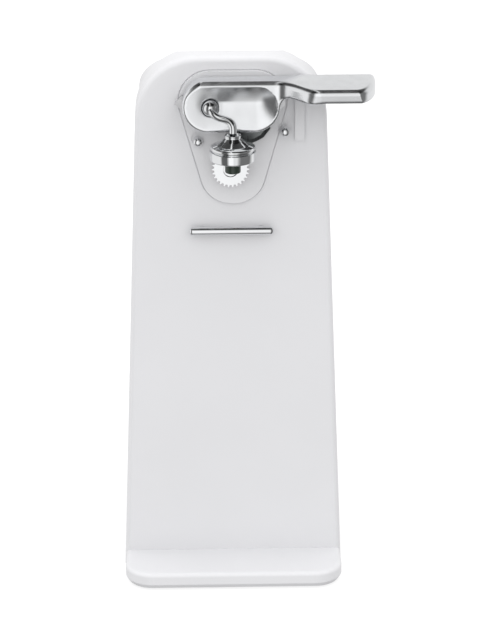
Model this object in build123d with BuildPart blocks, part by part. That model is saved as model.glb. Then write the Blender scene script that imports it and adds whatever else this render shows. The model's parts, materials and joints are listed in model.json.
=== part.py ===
from build123d import *
from math import atan2, cos, degrees, pi, radians, sin, sqrt
import os

os.makedirs("parts", exist_ok=True)

# Upright electric can opener, in millimetres. +Z is up and the front faces -Y. The origin is on the
# table, under the middle of the body. Every shaft of the mechanism runs front to back, along Y.

# ---- driving dimensions: body ----
HEIGHT = 216.0
BASE_HALF_WIDTH = 44.5
SIDE_LEAN = 0.0386  # each side comes in by this much per millimetre of height
SHOULDER_R = 24.6
FRONT_Y = -30.0
SEAM_Y = -16.0  # where the two housings meet
REAR_Y = 56.0
ROOF_REAR_Y = 42.0
ROOF_REAR_Z = 188.0
REAR_INSET = 1.0  # the rear housing stands in by this much at the seam
WALL = 2.4
BOTTOM = 0.8  # the housings' lower edge, held off the table by the rubber ring
FOOT_FRONT_Y = -52.7
FOOT_TOP = 7.4
FOOT_HALF_WIDTH = 43.9
FOOT_CORNER_R = 11.0
BASE_COVER = 2.4
BOSS_RAISE = 1.3
FALL_START_Y = -22.0
TOP_FALL = 1.4
EDGE_R = 2.2

# ---- driving dimensions: cutting head ----
WHEEL_X = -0.4
WHEEL_Z = 172.9
WHEEL_R = 7.2
WHEEL_TEETH = 26
WHEEL_FRONT_Y = -36.3
WHEEL_THICK = 1.7
PIVOT_X = -8.6
PIVOT_Z = 199.0
LEVER_FRONT_Y = -41.5
LEVER_BACK_Y = -32.9
HANDLE_FRONT_Y = -52.3
HANDLE_END_X = 55.0
LEVER_TOP_Z = 209.4
LEVER_TOP_SLOPE = 3.85  # degrees that the casting's top falls towards the front
LEVER_LEFT_X = -18.8
LEVER_RIGHT_X = 18.6
LEVER_LOW_Z = 189.0
HANDLE_LOW_Z = 202.7
BALL = (-8.1, -40.2, 198.6)
BALL_R = 3.1
CUP_X = 0.3
CUP_Y = -47.4
CUP_R = 8.8
CUP_LOW_Z = 180.2

# ---- driving dimensions: gear train ----
OUTPUT_TEETH = 45
OUTPUT_MODULE = 1.0
SECOND_PINION_TEETH = 10
SECOND_TEETH = 40
SECOND_MODULE = 0.8
FIRST_PINION_TEETH = 10
FIRST_TEETH = 40
FIRST_MODULE = 0.6
MOTOR_TEETH = 8
SECOND_SIDESTEP = -9.0  # how far each axis stands to the side of the one before
FIRST_SIDESTEP = 12.0
MOTOR_SIDESTEP = -3.0

# ---- fits ----
RUN = 0.05  # radial clearance of a part that turns or slides
SEAT = 0.02  # radial clearance of a part that is fixed in its hole


def front_plane(y):
    """A drawing plane at depth y, seen from the front: x to the right, z up."""
    return Plane.XZ.offset(-y)


def bar(x, z, radius, front, back, mode=Mode.ADD):
    """A round bar or hole along Y, centred at (x, z), between two depths."""
    with BuildSketch(front_plane(front)) as section:
        with Locations((x, z)):
            Circle(radius)
    extrude(section.sketch, amount=front - back, mode=mode)


def post(x, y, radius, low, high, mode=Mode.ADD):
    """An upright round bar or hole, centred at (x, y), between two heights."""
    with BuildSketch(Plane.XY.offset(low)) as section:
        with Locations((x, y)):
            Circle(radius)
    extrude(section.sketch, amount=high - low, mode=mode)


def block(x, y, z, mode=Mode.ADD):
    """A rectangular block given by its low and high x, y and z."""
    with Locations(((x[0] + x[1]) / 2, (y[0] + y[1]) / 2, (z[0] + z[1]) / 2)):
        Box(x[1] - x[0], y[1] - y[0], z[1] - z[0], mode=mode)


def save(part, name):
    """Names a finished piece and writes it."""
    part.label = name
    export_step(part, f"parts/{name}.step")


# ======================================================================================
# Housings
# ======================================================================================


def half_width(z):
    """Half the body's width at a height, before its shoulders curve in."""
    return BASE_HALF_WIDTH - SIDE_LEAN * z


def arch(y, inset, low):
    """The body's outline seen from the front, at depth y, drawn inside its outer surface."""
    high = HEIGHT - inset
    with BuildSketch(front_plane(y)) as outline:
        with BuildLine():
            Polyline(
                (inset - half_width(low), low),
                (inset - half_width(high), high),
                (half_width(high) - inset, high),
                (half_width(low) - inset, low),
                close=True,
            )
        make_face()
        fillet(outline.vertices().group_by(Axis.Y)[-1], SHOULDER_R - inset)
    return outline.sketch


def foot_outline(z, inset, back):
    """The foot's outline seen from above, with its two rounded front corners."""
    x = FOOT_HALF_WIDTH - inset
    with BuildSketch(Plane.XY.offset(z)) as outline:
        with BuildLine():
            Polyline((-x, back), (-x, FOOT_FRONT_Y + inset), (x, FOOT_FRONT_Y + inset), (x, back), close=True)
        make_face()
        fillet(outline.vertices().group_by(Axis.Y)[0], FOOT_CORNER_R - inset)
    return outline.sketch


def rear_wall_y(z):
    """Depth of the rear housing's outer back wall, which leans forward above its upright foot."""
    lean = (REAR_Y - ROOF_REAR_Y) / (ROOF_REAR_Z - REAR_FOOT_Z)
    return REAR_Y - lean * max(0, z - REAR_FOOT_Z)


def rear_form(piece, inset, low):
    """The rear housing's solid form: the arch carried back under a roof that slopes down."""
    extrude(arch(SEAM_Y, inset, low), amount=SEAM_Y - REAR_Y)
    shift = inset - REAR_INSET
    with BuildSketch(Plane.YZ) as side:
        with BuildLine():
            Polyline(
                (SEAM_Y, low),
                (SEAM_Y, ROOF_FRONT_Z - shift),
                (ROOF_REAR_Y - shift, ROOF_REAR_Z - shift),
                (REAR_Y - shift, REAR_FOOT_Z),
                (REAR_Y - shift, low),
                close=True,
            )
        make_face()
        fillet(side.vertices().group_by(Axis.Y)[-2], ROOF_CORNER_R - shift)
    extrude(side.sketch, amount=BASE_HALF_WIDTH, both=True, mode=Mode.INTERSECT)
    edges = piece.edges().filter_by_position(Axis.Y, SEAM_Y + 5, REAR_Y + 1)
    outside = edges.filter_by_position(Axis.Z, BOTTOM + 1, HEIGHT)
    across = outside.filter_by(Axis.X)
    fillet([edge for edge in outside if edge not in across], BACK_EDGE_R - shift)


REAR_FOOT_Z = 26.0  # the rear wall is upright below this height
ROOF_FRONT_Z = 213.5
ROOF_CORNER_R = 24.0
BACK_EDGE_R = 7.0

PIVOT_BUSH_R = 5.0
DRIVE_BUSH_R = 5.2
DRIVE_SHAFT_R = 4.0
PIVOT_SHAFT_R = 3.0
GUIDE_PINS = [(-12.9, 183.3), (20.7, 187.0)]
GUIDE_PIN_R = 1.5
PIN_RECESS_R = 2.6
PIN_RECESS_DEPTH = 0.3
GUIDE_BAR_Z = 146.6
GUIDE_BAR_POSTS = [-11.5, 11.5]
GUIDE_POST_R = 1.3
PLATE_SCREWS = [(-19.0, 194.0), (19.0, 194.0), (-20.0, 110.0), (20.0, 110.0)]
HOUSING_SCREWS = [(-30.3, 165.0), (30.3, 165.0), (-33.0, 22.0), (33.0, 22.0)]
FRONT_BASE_SCREWS = [(-30.0, -24.5), (30.0, -24.5)]
REAR_BASE_SCREWS = [(-30.0, 50.3), (30.0, 50.3)]
FRONT_PLATE_Y = -20.5
INNER_FACE_Y = FRONT_Y + WALL
SCREW_R = 1.5
BASE_POST_TOP = 16.0
SHIELD_TOP = 210.6
SHIELD_LOW = 157.5
SHIELD_X = 0.6
SHIELD_GROOVE = 0.45  # width and depth of the fine groove round the shield's foot


def shield_outline(y, grow):
    """The outline of the shield behind the cutting head, at depth y, grown evenly."""
    with BuildSketch(front_plane(y)) as outline:
        with BuildLine():
            Polyline(
                (SHIELD_X - 9.6, SHIELD_LOW),
                (SHIELD_X - 24.6, SHIELD_TOP),
                (SHIELD_X + 24.6, SHIELD_TOP),
                (SHIELD_X + 9.6, SHIELD_LOW),
                close=True,
            )
        make_face()
        fillet(outline.vertices().group_by(Axis.Y)[-1], 12)
        fillet(outline.vertices().group_by(Axis.Y)[0], 11.8)
        if grow:
            offset(amount=grow)
    return outline.sketch


with BuildPart() as front_housing:
    extrude(arch(FRONT_Y, 0, BOTTOM), amount=FRONT_Y - SEAM_Y)
    rim = front_housing.faces().sort_by(Axis.Y)[0].edges().filter_by_position(Axis.Z, 5, HEIGHT + 1)
    fillet(rim, EDGE_R)
    extrude(foot_outline(BOTTOM, 0, SEAM_Y), amount=FOOT_TOP - BOTTOM)
    top_edges = front_housing.edges().filter_by_position(Axis.Z, FOOT_TOP - 0.01, FOOT_TOP + 0.01)
    fillet(top_edges.filter_by_position(Axis.Y, FOOT_FRONT_Y - 1, FRONT_Y - 8), 1.6)
    # the hollow of the body, open behind and below
    extrude(arch(INNER_FACE_Y, WALL, BOTTOM - 2), amount=INNER_FACE_Y - SEAM_Y, mode=Mode.SUBTRACT)
    # the top falls a little towards the seam, where it meets the roof
    with BuildSketch(Plane.YZ) as fall:
        with BuildLine():
            Polyline(
                (FALL_START_Y, HEIGHT),
                (SEAM_Y, HEIGHT - TOP_FALL),
                (SEAM_Y + 1, HEIGHT - TOP_FALL),
                (SEAM_Y + 1, HEIGHT + 1),
                (FALL_START_Y, HEIGHT + 1),
                close=True,
            )
        make_face()
    extrude(fall.sketch, amount=BASE_HALF_WIDTH, both=True, mode=Mode.SUBTRACT)
    # the hollow of the foot, open below
    foot_hollow = foot_outline(BOTTOM - 1, WALL, INNER_FACE_Y + 1)
    extrude(foot_hollow, amount=FOOT_TOP - WALL - BOTTOM + 1, mode=Mode.SUBTRACT)
    # the raised shield behind the cutting head, with sloping sides
    extrude(shield_outline(FRONT_Y + 0.5, 0), amount=BOSS_RAISE + 0.5)
    chamfer(front_housing.faces().filter_by(Axis.Y).sort_by(Axis.Y)[0].edges(), 1.2, 1.8)
    fillet(front_housing.faces().filter_by(Axis.Y).sort_by(Axis.Y)[0].edges(), 0.6)
    groove = shield_outline(FRONT_Y, SHIELD_GROOVE) - shield_outline(FRONT_Y, 0)
    extrude(groove, amount=-SHIELD_GROOVE, mode=Mode.SUBTRACT)
    # the upright rib right of the shield
    block((24.6, 28.3), (FRONT_Y - 1.2, FRONT_Y + 0.5), (182.6, 201.0))
    # inside: screw bosses for the gear plates, for the rear housing and for the base cover
    for x, z in PLATE_SCREWS:
        bar(x, z, 3.1, INNER_FACE_Y - 0.5, FRONT_PLATE_Y)
    for x, z in HOUSING_SCREWS:
        bar(x, z, 4.2, INNER_FACE_Y - 0.5, SEAM_Y)
    for x, y in FRONT_BASE_SCREWS:
        post(x, y, 3.8, BOTTOM + BASE_COVER, BASE_POST_TOP)
    for x, z in PLATE_SCREWS + HOUSING_SCREWS:
        bar(x, z, SCREW_R, INNER_FACE_Y + 0.6, SEAM_Y + 1, mode=Mode.SUBTRACT)
    for x, y in FRONT_BASE_SCREWS:
        post(x, y, SCREW_R, BOTTOM, BASE_POST_TOP - 2, mode=Mode.SUBTRACT)
    # holes through the face
    bar(PIVOT_X, PIVOT_Z, PIVOT_BUSH_R + SEAT, FRONT_Y - 3, INNER_FACE_Y + 1, mode=Mode.SUBTRACT)
    bar(WHEEL_X, WHEEL_Z, DRIVE_BUSH_R + SEAT, FRONT_Y - 3, INNER_FACE_Y + 1, mode=Mode.SUBTRACT)
    for x, z in GUIDE_PINS:
        bar(x, z, GUIDE_PIN_R - 0.3 + SEAT, FRONT_Y - 3, INNER_FACE_Y + 1, mode=Mode.SUBTRACT)
    for (x, z), face_y in zip(GUIDE_PINS, (FRONT_Y - BOSS_RAISE, FRONT_Y)):
        bar(x, z + 0.7, PIN_RECESS_R, FRONT_Y - 3, face_y + PIN_RECESS_DEPTH, mode=Mode.SUBTRACT)
    for x in GUIDE_BAR_POSTS:
        bar(x, GUIDE_BAR_Z, GUIDE_POST_R + SEAT, FRONT_Y - 3, INNER_FACE_Y + 1, mode=Mode.SUBTRACT)
save(front_housing.part, "front_housing")

VENT_Z = [92.0 + 6.0 * step for step in range(8)]
GLAND_Z = 17.0
GLAND_R = 5.0

with BuildPart() as rear_hollow:
    rear_form(rear_hollow, REAR_INSET + WALL, BOTTOM - 2)

with BuildPart() as rear_housing:
    rear_form(rear_housing, REAR_INSET, BOTTOM)
    add(rear_hollow.part, mode=Mode.SUBTRACT)
    for x, z in HOUSING_SCREWS:
        bar(x, z, 4.2, SEAM_Y, rear_wall_y(z) - WALL / 2)
    for x, y in REAR_BASE_SCREWS:
        post(x, y, 3.8, BOTTOM + BASE_COVER, BASE_POST_TOP)
    for x, y in REAR_BASE_SCREWS:
        post(x, y, SCREW_R, BOTTOM, BASE_POST_TOP - 2, mode=Mode.SUBTRACT)
    for x, z in HOUSING_SCREWS:
        bar(x, z, SCREW_R + 0.3, SEAM_Y - 1, REAR_Y, mode=Mode.SUBTRACT)
        bar(x, z, 3.3, SEAM_Y + 8, REAR_Y + 9, mode=Mode.SUBTRACT)
    for z in VENT_Z:
        block((-16, 16), (ROOF_REAR_Y - 6, REAR_Y + 1), (z, z + 2.6), mode=Mode.SUBTRACT)
    bar(0, GLAND_Z, GLAND_R + SEAT, REAR_Y - 8, REAR_Y + 1, mode=Mode.SUBTRACT)
save(rear_housing.part, "rear_housing")

# ======================================================================================
# Base and fasteners
# ======================================================================================


def rounded_plate(z, half_x, front, back, corner):
    """A rounded rectangle seen from above, at height z."""
    with BuildSketch(Plane.XY.offset(z)) as outline:
        with Locations((0, (front + back) / 2)):
            RectangleRounded(2 * half_x, back - front, corner)
    return outline.sketch


def y_screw(x, z, tip, head):
    """A pan-head screw along Y with a cross recess: its tip in front, its head behind."""
    bar(x, z, SCREW_R - SEAT, tip, head)
    bar(x, z, SCREW_HEAD_R, head, head + SCREW_HEAD)
    slot = (0.4, 1.7)
    for across, up in (slot, slot[::-1]):
        recess = (head + SCREW_HEAD / 2, head + SCREW_HEAD + 1)
        block((x - across, x + across), recess, (z - up, z + up), mode=Mode.SUBTRACT)


SCREW_HEAD_R = 2.7
SCREW_HEAD = 1.8
HEAD_SINK = 1.4
COVER_HALF_WIDTH = 40.6
COVER_TOP = BOTTOM + BASE_COVER
RING_TOP = BOTTOM + 0.7
RING_FRONT_Y = -48.5
RING_BACK_Y = 45.5
RING_WIDTH = 4.0
RING_HALF_WIDTH = 39.2
RING_CORNER_R = 8.0
COVER_VENT_Y = [-8.0 + 7.0 * step for step in range(6)]


def ring_outline(z, grow):
    """The rubber ring's outer outline, grown or shrunk evenly."""
    return rounded_plate(
        z, RING_HALF_WIDTH + grow, RING_FRONT_Y - grow, RING_BACK_Y + grow, RING_CORNER_R + grow
    )


with BuildPart() as non_slip_ring:
    extrude(ring_outline(0, 0), amount=RING_TOP)
    extrude(ring_outline(0, -RING_WIDTH), amount=RING_TOP, mode=Mode.SUBTRACT)
save(non_slip_ring.part, "non_slip_ring")

with BuildPart() as base_cover:
    cover = rounded_plate(
        BOTTOM, COVER_HALF_WIDTH, FOOT_FRONT_Y + WALL + 0.3, REAR_Y - WALL - 0.3, FOOT_CORNER_R - WALL
    )
    extrude(cover, amount=BASE_COVER)
    groove = ring_outline(BOTTOM, 0) - ring_outline(BOTTOM, -RING_WIDTH)
    extrude(groove, amount=RING_TOP - BOTTOM, mode=Mode.SUBTRACT)
    for x, y in FRONT_BASE_SCREWS + REAR_BASE_SCREWS:
        post(x, y, SCREW_R + 0.3, BOTTOM, COVER_TOP, mode=Mode.SUBTRACT)
        post(x, y, SCREW_HEAD_R + 0.3, BOTTOM, BOTTOM + HEAD_SINK, mode=Mode.SUBTRACT)
    for y in COVER_VENT_Y:
        block((-18, 18), (y, y + 3), (BOTTOM - 1, COVER_TOP + 1), mode=Mode.SUBTRACT)
save(base_cover.part, "base_cover")

with BuildPart() as base_screws:
    for x, y in FRONT_BASE_SCREWS + REAR_BASE_SCREWS:
        post(x, y, SCREW_R - SEAT, BOTTOM + HEAD_SINK, BASE_POST_TOP - 4)
        post(x, y, SCREW_HEAD_R, BOTTOM + 0.2, BOTTOM + HEAD_SINK)
        block((x - 1.7, x + 1.7), (y - 0.4, y + 0.4), (BOTTOM, BOTTOM + 0.8), mode=Mode.SUBTRACT)
save(base_screws.part, "base_screws")

SCREW_SEAT_Y = SEAM_Y + 8

with BuildPart() as housing_screws:
    for x, z in HOUSING_SCREWS:
        y_screw(x, z, INNER_FACE_Y + 2, SCREW_SEAT_Y)
save(housing_screws.part, "housing_screws")

GLAND_BORE_R = 3.3

with BuildPart() as cord_gland:
    bar(0, GLAND_Z, GLAND_R, REAR_Y - WALL - 2.5, REAR_Y)
    bar(0, GLAND_Z, GLAND_R + 1.6, REAR_Y, REAR_Y + 1.6)
    bar(0, GLAND_Z, GLAND_BORE_R, REAR_Y - 9, REAR_Y + 3, mode=Mode.SUBTRACT)
    chamfer(cord_gland.faces().sort_by(Axis.Y)[-1].edges().sort_by(SortBy.RADIUS)[-1], 0.7)
save(cord_gland.part, "cord_gland")

GUIDE_BAR_R = 1.7
GUIDE_BAR_Y = -32.6
GUIDE_BAR_X = (-16.6, 16.4)

with BuildPart() as guide_bar:
    with BuildSketch(Plane.YZ.offset(GUIDE_BAR_X[0])):
        with Locations((GUIDE_BAR_Y, GUIDE_BAR_Z)):
            Circle(GUIDE_BAR_R)
    extrude(amount=GUIDE_BAR_X[1] - GUIDE_BAR_X[0])
    fillet(guide_bar.edges().filter_by(GeomType.CIRCLE), GUIDE_BAR_R - 0.3)
    for x in GUIDE_BAR_POSTS:
        bar(x, GUIDE_BAR_Z, GUIDE_POST_R, GUIDE_BAR_Y, INNER_FACE_Y + 1.5)
save(guide_bar.part, "guide_bar")

GUIDE_PIN_TIP_Y = -35.4

with BuildPart() as guide_pins:
    for x, z in GUIDE_PINS:
        bar(x, z, GUIDE_PIN_R - 0.3, FRONT_Y - BOSS_RAISE, INNER_FACE_Y)
        bar(x, z, GUIDE_PIN_R + 0.3, GUIDE_PIN_TIP_Y, FRONT_Y - BOSS_RAISE)
    fillet(guide_pins.faces().sort_by(Axis.Y)[:2].edges(), GUIDE_PIN_R)
save(guide_pins.part, "guide_pins")

# ======================================================================================
# Lever, blade and magnet
# ======================================================================================

LEVER_MID_X = (LEVER_LEFT_X + LEVER_RIGHT_X) / 2
LEVER_MID_Z = (LEVER_TOP_Z + LEVER_LOW_Z) / 2
LEVER_LENGTH = LEVER_RIGHT_X - LEVER_LEFT_X
PLATE_HEIGHT = LEVER_TOP_Z - LEVER_LOW_Z
LEVER_RIM = 2.0
POCKET_Y = -38.2  # floor of the hollow behind the plate
DISH_DEPTH = 2.2
NECK_START_X = 17.5
HANDLE_START_X = 32.5
HANDLE_CORNER_R = 9.5
HUB_R = 5.6
SHAFT_FRONT_Y = -36.2
BLADE_FRONT_Y = -38.1
BLADE_THICK = 1.3
BACKING_THICK = 1.1
RIVETS = [(3.2, 192.4), (10.4, 192.4)]
RIVET_R = 1.1

with BuildPart() as activation_lever:
    # seen from the front: the oval plate, the arched underside of the neck, the handle
    with BuildSketch(front_plane(LEVER_BACK_Y + 1.0)):
        with Locations((LEVER_MID_X, LEVER_MID_Z)):
            SlotOverall(LEVER_LENGTH, PLATE_HEIGHT)
        with BuildLine():
            Polyline(
                (LEVER_RIGHT_X, LEVER_MID_Z),
                (0, LEVER_MID_Z),
                (0, LEVER_TOP_Z),
                (HANDLE_END_X + 1, LEVER_TOP_Z),
                (HANDLE_END_X + 1, HANDLE_LOW_Z),
                (HANDLE_START_X + 3, HANDLE_LOW_Z),
            )
            Spline(
                (HANDLE_START_X + 3, HANDLE_LOW_Z),
                (24.9, HANDLE_LOW_Z),
                (21.0, 201.6),
                (LEVER_RIGHT_X, LEVER_MID_Z),
                tangents=((-1, 0), (-0.05, -1)),
            )
        make_face()
    extrude(amount=LEVER_BACK_Y + 1.0 - HANDLE_FRONT_Y)
    # seen from above: the neck swings forward to the deep handle
    with BuildSketch(Plane.XY.offset(LEVER_LOW_Z - 1)) as plan:
        with BuildLine():
            Polyline(
                (NECK_START_X, LEVER_FRONT_Y),
                (LEVER_LEFT_X - 1, LEVER_FRONT_Y),
                (LEVER_LEFT_X - 1, LEVER_BACK_Y),
                (24, LEVER_BACK_Y),
                (26, LEVER_BACK_Y + 1),
                (HANDLE_END_X, LEVER_BACK_Y + 1),
                (HANDLE_END_X - 1.2, HANDLE_FRONT_Y),
                (HANDLE_START_X, HANDLE_FRONT_Y),
            )
            Spline(
                (HANDLE_START_X, HANDLE_FRONT_Y),
                (25.0, -46.9),
                (NECK_START_X, LEVER_FRONT_Y),
                tangents=((-1, 0.1), (-1, 0.1)),
            )
        make_face()
        fillet(plan.vertices().group_by(Axis.X)[-2], HANDLE_CORNER_R)
    extrude(amount=PLATE_HEIGHT + 2, mode=Mode.INTERSECT)
    # the top falls a little towards the front
    with BuildSketch(Plane.YZ):
        with BuildLine():
            Polyline(
                (LEVER_BACK_Y + 1, LEVER_TOP_Z),
                (HANDLE_FRONT_Y - 1, LEVER_TOP_Z + 1),
                (
                    HANDLE_FRONT_Y - 1,
                    LEVER_TOP_Z - (LEVER_BACK_Y + 2 - HANDLE_FRONT_Y) * sin(radians(LEVER_TOP_SLOPE)),
                ),
                close=True,
            )
        make_face()
    extrude(amount=2 * HANDLE_END_X, both=True, mode=Mode.SUBTRACT)
    # the dish in the front of the plate
    with BuildSketch(front_plane(LEVER_FRONT_Y)):
        with Locations((LEVER_MID_X, LEVER_MID_Z - 0.6)):
            SlotOverall(LEVER_LENGTH - 2 * LEVER_RIM, PLATE_HEIGHT - 2 * LEVER_RIM)
    extrude(amount=-DISH_DEPTH, mode=Mode.SUBTRACT)
    # the hollow behind the plate, around the hub that holds the shaft
    with BuildSketch(front_plane(LEVER_BACK_Y)):
        with Locations((LEVER_MID_X, LEVER_MID_Z - 0.6)):
            SlotOverall(LEVER_LENGTH - 2 * LEVER_RIM, PLATE_HEIGHT - 2 * LEVER_RIM - 1)
        with Locations((PIVOT_X, PIVOT_Z)):
            Circle(HUB_R, mode=Mode.SUBTRACT)
    extrude(amount=LEVER_BACK_Y - POCKET_Y, mode=Mode.SUBTRACT)
    bar(PIVOT_X, PIVOT_Z, PIVOT_SHAFT_R + SEAT, SHAFT_FRONT_Y, LEVER_BACK_Y + 1, mode=Mode.SUBTRACT)
    # the way out for the blade, and the socket of the magnet arm's ball
    block((-3.2, 15.4), (POCKET_Y, LEVER_BACK_Y + 1), (LEVER_LOW_Z - 1, LEVER_LOW_Z + 6), mode=Mode.SUBTRACT)
    with Locations(BALL):
        Sphere(BALL_R + 0.3, mode=Mode.SUBTRACT)
save(activation_lever.part, "activation_lever")

with BuildPart() as lever_backing_plate:
    with BuildSketch(front_plane(LEVER_BACK_Y + BACKING_THICK)) as backing:
        with BuildLine():
            Polyline(
                (-21.7, 198.1),
                (-20.4, 200.1),
                (-19.1, 201.4),
                (-12.0, 204.0),
                (12.0, 204.0),
                (20.7, 200.6),
                (20.7, 197.2),
                (17.0, 193.6),
                (12.0, 191.2),
                (-3.0, 192.0),
                (-12.0, 191.2),
                (-19.5, 196.3),
                close=True,
            )
        make_face()
        fillet(backing.vertices().group_by(Axis.X)[-1], 1.6)
        with Locations((PIVOT_X, PIVOT_Z)):
            Circle(PIVOT_SHAFT_R + SEAT, mode=Mode.SUBTRACT)
    extrude(amount=BACKING_THICK)
save(lever_backing_plate.part, "lever_backing_plate")

with BuildPart() as cutting_blade:
    with BuildSketch(front_plane(BLADE_FRONT_Y)):
        with BuildLine():
            Polyline(
                (-2.6, 194.8),
                (14.9, 194.8),
                (14.9, 189.4),
                (12.2, 185.9),
                (9.4, 184.4),
                (2.4, 181.7),
                (0.6, 185.6),
                close=True,
            )
        make_face()
        with Locations(*RIVETS):
            Circle(RIVET_R + SEAT, mode=Mode.SUBTRACT)
    extrude(amount=-BLADE_THICK)
    edge = cutting_blade.faces().sort_by(Axis.Y)[0].edges().filter_by_position(Axis.Z, 181, 188)
    chamfer(edge, 0.7, 1.6)
save(cutting_blade.part, "cutting_blade")

with BuildPart() as blade_rivets:
    for x, z in RIVETS:
        bar(x, z, RIVET_R, BLADE_FRONT_Y, BLADE_FRONT_Y + BLADE_THICK)
        bar(x, z, 2 * RIVET_R, BLADE_FRONT_Y + BLADE_THICK, BLADE_FRONT_Y + BLADE_THICK + 1)
save(blade_rivets.part, "blade_rivets")

CRANK_FRONT_Y = -27.2
CRANK_THICK = 2.5
CRANK_REACH = 17.0
CRANK_PIN_R = 1.4
CRANK_HUB_R = 5.4
SHAFT_BACK_Y = -22.4
CRANK_RING_Y = CRANK_FRONT_Y + CRANK_THICK + 0.1

with BuildPart() as lever_shaft:
    bar(PIVOT_X, PIVOT_Z, PIVOT_SHAFT_R, SHAFT_FRONT_Y, SHAFT_BACK_Y)
    chamfer(lever_shaft.edges(), 0.5)
save(lever_shaft.part, "lever_shaft")

with BuildPart() as lever_bushing:
    bar(PIVOT_X, PIVOT_Z, PIVOT_BUSH_R, FRONT_Y - BOSS_RAISE, CRANK_FRONT_Y - 0.3)
    bar(PIVOT_X, PIVOT_Z, PIVOT_SHAFT_R + RUN, FRONT_Y - 3, CRANK_FRONT_Y, mode=Mode.SUBTRACT)
save(lever_bushing.part, "lever_bushing")

with BuildPart() as lever_crank:
    with BuildSketch(front_plane(CRANK_FRONT_Y)):
        with Locations((PIVOT_X, PIVOT_Z)):
            Circle(CRANK_HUB_R)
        with Locations((PIVOT_X + CRANK_REACH / 2, PIVOT_Z)):
            SlotCenterToCenter(CRANK_REACH, 5.2)
        with Locations((PIVOT_X, PIVOT_Z)):
            Circle(PIVOT_SHAFT_R + SEAT, mode=Mode.SUBTRACT)
    extrude(amount=-CRANK_THICK)
    bar(PIVOT_X + CRANK_REACH, PIVOT_Z, CRANK_PIN_R, CRANK_FRONT_Y, CRANK_FRONT_Y + CRANK_THICK + 2.9)
save(lever_crank.part, "lever_crank")

with BuildPart() as crank_retaining_ring:
    bar(PIVOT_X, PIVOT_Z, 4.6, CRANK_RING_Y, CRANK_RING_Y + 0.8)
    bar(PIVOT_X, PIVOT_Z, PIVOT_SHAFT_R + SEAT, CRANK_RING_Y - 1, CRANK_RING_Y + 2, mode=Mode.SUBTRACT)
    gap = (CRANK_RING_Y - 1, CRANK_RING_Y + 2)
    block((PIVOT_X - 1.6, PIVOT_X + 1.6), gap, (PIVOT_Z - 6, PIVOT_Z - 2), mode=Mode.SUBTRACT)
save(crank_retaining_ring.part, "crank_retaining_ring")

WIRE_R = 1.1
WIRE_HEAD_Z = 184.6
WIRE_STRAIGHT_Z = 191.2  # the wire runs straight down the cup's axis below this
CUP_TOP_Z = 190.4
WIRE_ROUTE = [
    BALL,
    (-7.0, -43.6, 197.3),
    (-3.6, -45.2, 195.7),
    (-0.6, -46.6, 194.2),
    (CUP_X, CUP_Y, WIRE_STRAIGHT_Z),
]

with BuildPart() as magnet_arm:
    with BuildLine() as route:
        Spline(*WIRE_ROUTE, tangents=((0.1, -1, -0.1), (0, 0, -1)))
        Line((CUP_X, CUP_Y, WIRE_STRAIGHT_Z), (CUP_X, CUP_Y, WIRE_HEAD_Z))
    with BuildSketch(Plane(origin=route.line @ 0, z_dir=route.line % 0)):
        Circle(WIRE_R)
    sweep(path=route.line)
    with Locations(BALL):
        Sphere(BALL_R)
    post(CUP_X, CUP_Y, 1.8, WIRE_HEAD_Z - 0.2, WIRE_HEAD_Z + 0.8)
save(magnet_arm.part, "magnet_arm")

MAGNET_R = 7.2
MAGNET_TOP_Z = 183.2
MAGNET_FACE_Z = 180.6
MAGNET_STEM_R = 3.0
MAGNET_STEM_Z = 175.2
BAND_TOP_Z = 184.0
CUP_SHOULDER_R = 8.45
CONE_FOOT = (6.4, 186.4)
CONE_HEAD = (3.1, 189.2)

with BuildPart() as magnet_cup:
    with BuildSketch(Plane(origin=(CUP_X, CUP_Y, 0), x_dir=(1, 0, 0), z_dir=(0, -1, 0))):
        with BuildLine():
            Polyline(
                (1.6, MAGNET_TOP_Z),
                (WIRE_R + RUN, MAGNET_TOP_Z + 3),
                (WIRE_R + RUN, CUP_TOP_Z - 3.0),
                (2.4, CUP_TOP_Z - 2.6),
                (2.7, CUP_TOP_Z),
            )
            ThreePointArc((2.7, CUP_TOP_Z), (3.5, CUP_TOP_Z - 0.3), CONE_HEAD)
            Spline(CONE_HEAD, (4.4, 187.9), CONE_FOOT, tangents=((0.5, -1), (1, -0.45)))
            Line(CONE_FOOT, (7.9, 185.5))
            ThreePointArc((7.9, 185.5), (CUP_SHOULDER_R, 184.9), (8.0, BAND_TOP_Z + 0.4))
            Polyline(
                (8.0, BAND_TOP_Z + 0.4),
                (8.0, BAND_TOP_Z),
                (CUP_R - 0.3, BAND_TOP_Z),
                (CUP_R, BAND_TOP_Z - 0.3),
                (CUP_R, CUP_LOW_Z + 0.5),
                (CUP_R - 0.5, CUP_LOW_Z),
                (MAGNET_R + SEAT, CUP_LOW_Z),
                (MAGNET_R + SEAT, MAGNET_TOP_Z),
                (1.6, MAGNET_TOP_Z),
            )
        make_face()
    revolve(axis=Axis((CUP_X, CUP_Y, 0), (0, 0, 1)))
    post(CUP_X, CUP_Y, 2.2, MAGNET_TOP_Z - 1, MAGNET_TOP_Z + 2.8, mode=Mode.SUBTRACT)
save(magnet_cup.part, "magnet_cup")

with BuildPart() as magnet:
    post(CUP_X, CUP_Y, MAGNET_R, MAGNET_FACE_Z, MAGNET_TOP_Z)
    post(CUP_X, CUP_Y, MAGNET_STEM_R, MAGNET_STEM_Z, MAGNET_FACE_Z)
    fillet(magnet.edges().sort_by(Axis.Z)[0], 0.5)
save(magnet.part, "magnet")

# ======================================================================================
# Gear train
# ======================================================================================

TOOTH_SHARE = 0.41  # tooth thickness at the pitch circle, as a share of the pitch
FLANK_ANGLE = 20.0


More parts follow.
